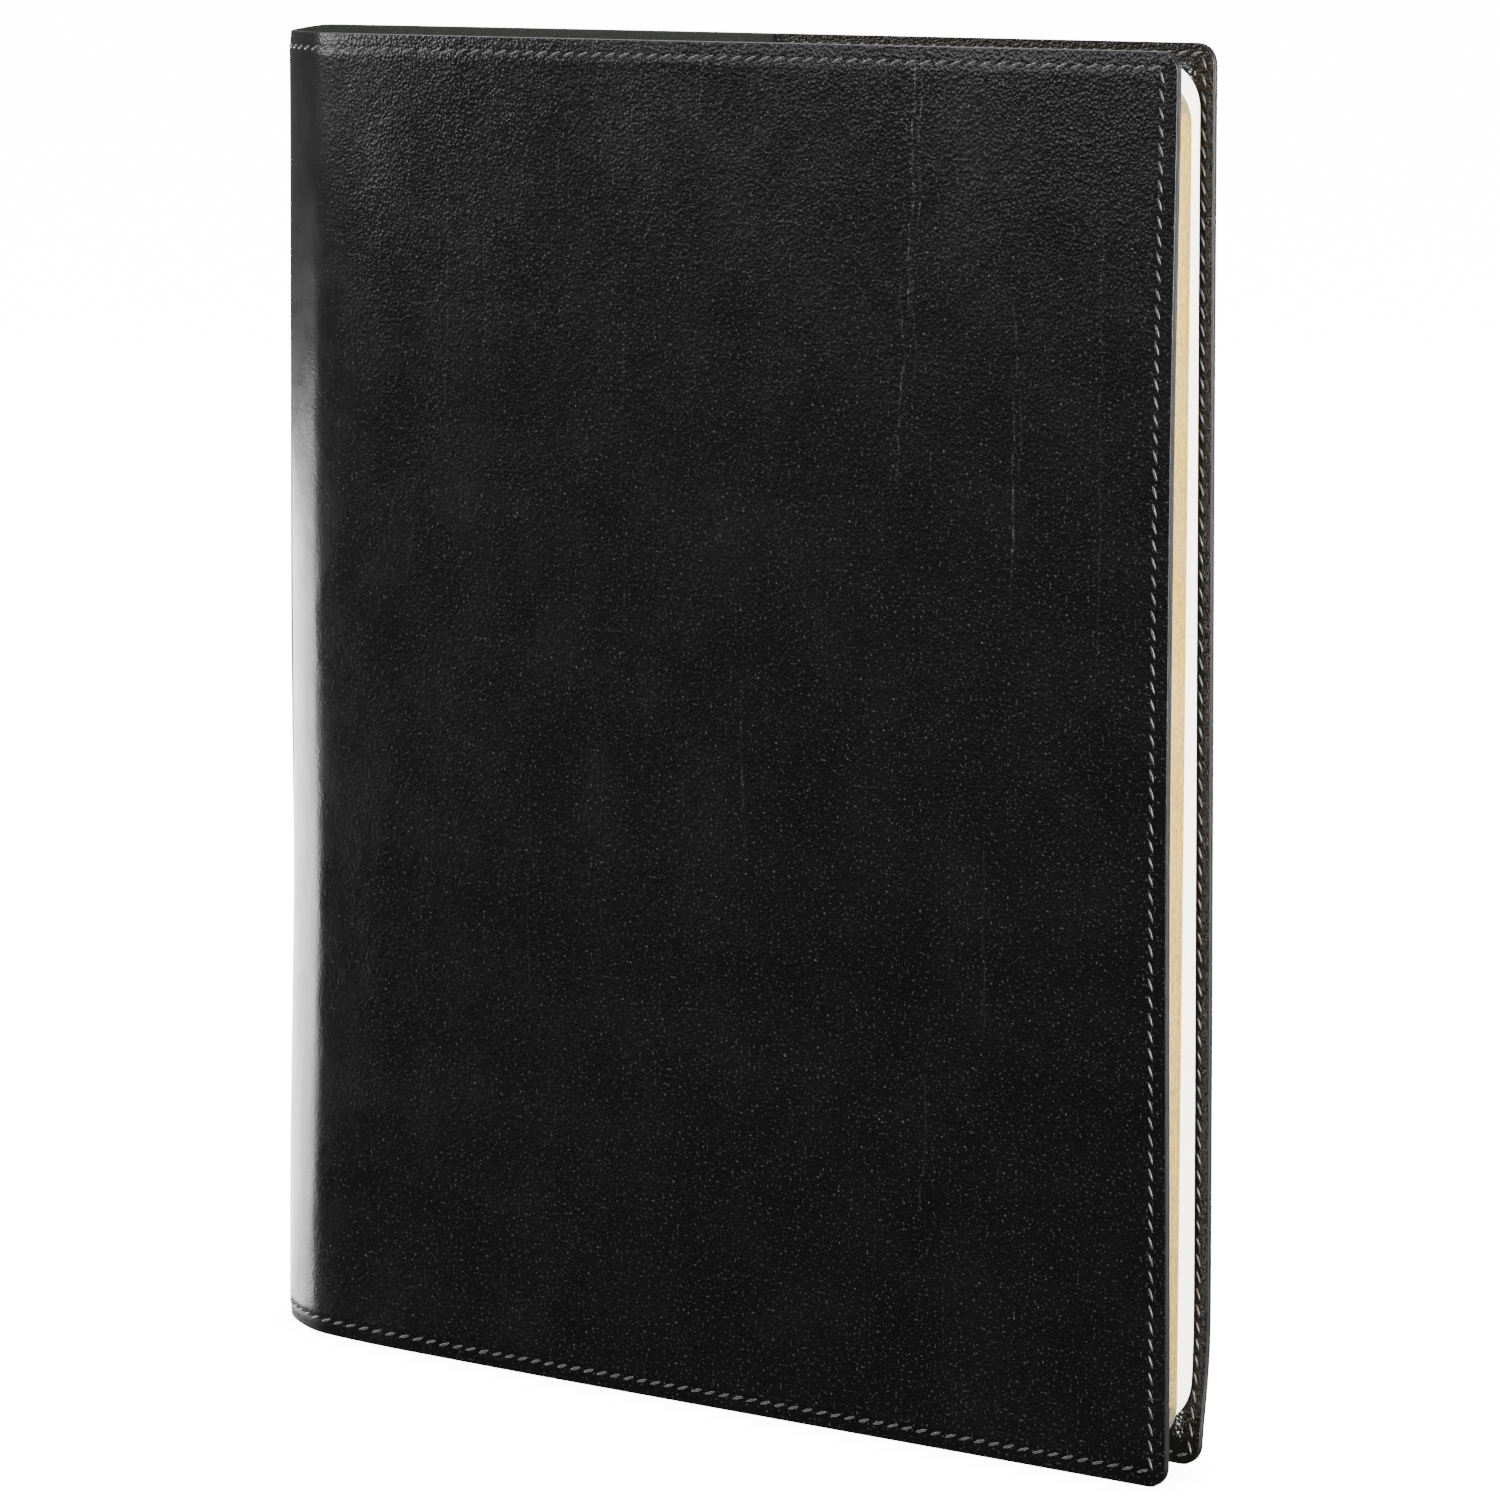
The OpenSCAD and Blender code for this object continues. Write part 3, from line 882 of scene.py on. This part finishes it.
def make_softbox(name, place, aim, width, height, radiance):
    """A softbox at place that faces aim, unseen by the camera."""
    data = bpy.data.lights.new(name, "AREA")
    data.shape = "RECTANGLE"
    data.size, data.size_y = width, height
    data.energy = radiance * math.pi * width * height
    light = bpy.data.objects.new(name, data)
    light.location = place
    light.rotation_euler = (Vector(aim) - Vector(place)).to_track_quat("-Z", "Y").to_euler()
    light.visible_camera = False
    bpy.context.scene.collection.objects.link(light)


def make_world():
    """A white studio backdrop that lights the book only dimly, and a little more from above."""
    world = bpy.data.worlds.new("studio")
    world.use_nodes = True
    tree = world.node_tree
    way = node(tree, "TexCoord", out="Generated")
    up = node(tree, "SeparateXYZ", {0: way}, out=2)
    around = node(tree, "MapRange", {0: up, 1: -0.2, 2: 0.9, 3: 0.1, 4: 0.8})
    seen = node(tree, "LightPath", out="Is Camera Ray")
    level = node(tree, "Math", {0: seen, 1: BACKDROP, 2: around}, operation="MULTIPLY_ADD")
    background = tree.nodes["Background"]
    tree.links.new(level, background.inputs["Strength"])
    background.inputs["Color"].default_value = (1, 1, 1, 1)
    bpy.context.scene.world = world


def make_floor():
    """A white sweep, lit evenly from within, that darkens only where the book stands on it: a painted contact shadow.
    """
    bm = bmesh.new()
    bmesh.ops.create_grid(bm, x_segments=1, y_segments=1, size=6.0)
    material, tree, shader = blank_material("matt_white_sweep", Roughness=0.9, Base_Color=(*linear("#f4f4f3"), 1),
                                            Emission_Color=(1, 1, 1, 1))
    # painted contact shadow: the glow drops to about a third where the book stands close
    near = node(tree, "AmbientOcclusion", {"Distance": 12 * MM}, out="AO", samples=8)
    glow_with_painted_shadow = node(tree, "MapRange", {0: near, 1: 0.0, 2: 1.0, 3: 0.35 * BACKDROP, 4: BACKDROP})
    tree.links.new(glow_with_painted_shadow, shader.inputs["Emission Strength"])
    floor = new_piece("floor", bm, [material])
    floor.visible_glossy = floor.visible_diffuse = floor.visible_shadow = False


# ---- operators ----

class BOOK_OT_jacket(bpy.types.Operator):
    """Lays the jacket leather round the book"""
    bl_idname = "book.jacket"
    bl_label = "Jacket Leather"
    bl_options = {"REGISTER", "UNDO"}

    def execute(self, context):
        for side in (FRONT, BACK):
            piece = make_jacket(side)
            open_middle(piece)
            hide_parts(f"jacket_{SIDE_NAME[side]}", "jacket_spine")
            hinge_blend(piece)
        return {"FINISHED"}


class BOOK_OT_seams(bpy.types.Operator):
    """Sews the jacket's seams stitch by stitch"""
    bl_idname = "book.seams"
    bl_label = "Seams"
    bl_options = {"REGISTER", "UNDO"}

    def execute(self, context):
        for side in (FRONT, BACK):
            piece = make_seam(side)
            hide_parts(f"{SIDE_NAME[side]}_stitching", "spine_stitching")
            hinge_blend(piece)
        return {"FINISHED"}


class BOOK_OT_pockets(bpy.types.Operator):
    """Lays in the two pocket flaps"""
    bl_idname = "book.pockets"
    bl_label = "Pocket Flaps"
    bl_options = {"REGISTER", "UNDO"}

    def execute(self, context):
        for side in (FRONT, BACK):
            piece = make_pocket(side)
            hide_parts(f"{SIDE_NAME[side]}_pocket")
            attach(piece, COVER_BODY[side])
        return {"FINISHED"}


class BOOK_OT_case(bpy.types.Operator):
    """Makes the cards, their pastedowns and the layers on the back of the block"""
    bl_idname = "book.case"
    bl_label = "Case and Spine Layers"
    bl_options = {"REGISTER", "UNDO"}

    def execute(self, context):
        made = materials()
        for side in (FRONT, BACK):
            card, pastedown = f"{SIDE_NAME[side]}_card", f"{SIDE_NAME[side]}_pastedown"
            layers = ((card, LEATHER_T, CARD_T, made["board"], "card"),
                      (pastedown, LEATHER_T + CARD_T, PASTEDOWN_T * 0.9, made["paper"], "endpaper"))
            for name, top, thickness, material, slot in layers:
                piece = make_card_layer(side, name, top, thickness, material)
                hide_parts(name)
                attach(piece, COVER_BODY[side])
        board = make_spine_board()
        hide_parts("case_spine")
        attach(board, "block")
        dress("spine_mull", made["linen"])
        dress("sewing_tapes", made["linen"])
        for name in ("headband", "tailband"):
            piece = make_end_band(name)
            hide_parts(name)
            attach(piece, "block")
        return {"FINISHED"}


class BOOK_OT_leaves(bpy.types.Operator):
    """Makes the gilt-edged sections and the two flyleaves"""
    bl_idname = "book.leaves"
    bl_label = "Leaves"
    bl_options = {"REGISTER", "UNDO"}

    def execute(self, context):
        bodies = frame["record"]["behaviour"]["bodies"]
        pieces = {f"section_{number}": make_section(number) for number in range(1, 8)}
        pieces["front_flyleaf"] = make_front_flyleaf()
        pieces["back_flyleaf"] = make_back_flyleaf()
        for name, piece in pieces.items():
            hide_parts(name)
            body = next(body for body, nodes in bodies.items() if name in nodes)
            if body == "block":
                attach(piece, body)
                continue
            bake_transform(piece)
        return {"FINISHED"}


class BOOK_OT_stage(bpy.types.Operator):
    """Sets the floor, the camera and the lights"""
    bl_idname = "book.stage"
    bl_label = "Stage"
    bl_options = {"REGISTER", "UNDO"}

    def execute(self, context):
        make_floor()
        make_camera()
        make_world()
        for softbox in SOFTBOXES:
            make_softbox(*softbox)
        return {"FINISHED"}


OPERATORS = (BOOK_OT_jacket, BOOK_OT_seams, BOOK_OT_pockets, BOOK_OT_case, BOOK_OT_leaves, BOOK_OT_stage)


class BOOK_PT_panel(bpy.types.Panel):
    """Lists the pieces of the book in the sidebar"""
    bl_label = "Prayer Book"
    bl_idname = "BOOK_PT_panel"
    bl_space_type = "VIEW_3D"
    bl_region_type = "UI"
    bl_category = "Prayer Book"

    def draw(self, context):
        for group in (context.scene.book_sizes, context.scene.book_colours):
            for name in group.__annotations__:
                self.layout.prop(group, name)
        for operator in OPERATORS:
            self.layout.operator(operator.bl_idname)


CLASSES = (BookSizes, BookColours, *OPERATORS, BOOK_PT_panel)


def register():
    for item in CLASSES:
        bpy.utils.register_class(item)
    bpy.types.Scene.book_sizes = bpy.props.PointerProperty(type=BookSizes)
    bpy.types.Scene.book_colours = bpy.props.PointerProperty(type=BookColours)


def unregister():
    del bpy.types.Scene.book_colours
    del bpy.types.Scene.book_sizes
    for item in reversed(CLASSES):
        bpy.utils.unregister_class(item)


def main():
    register()
    for operator in OPERATORS:
        name = operator.bl_idname.split(".")[1]
        getattr(bpy.ops.book, name)()


if __name__ == "__main__":
    main()
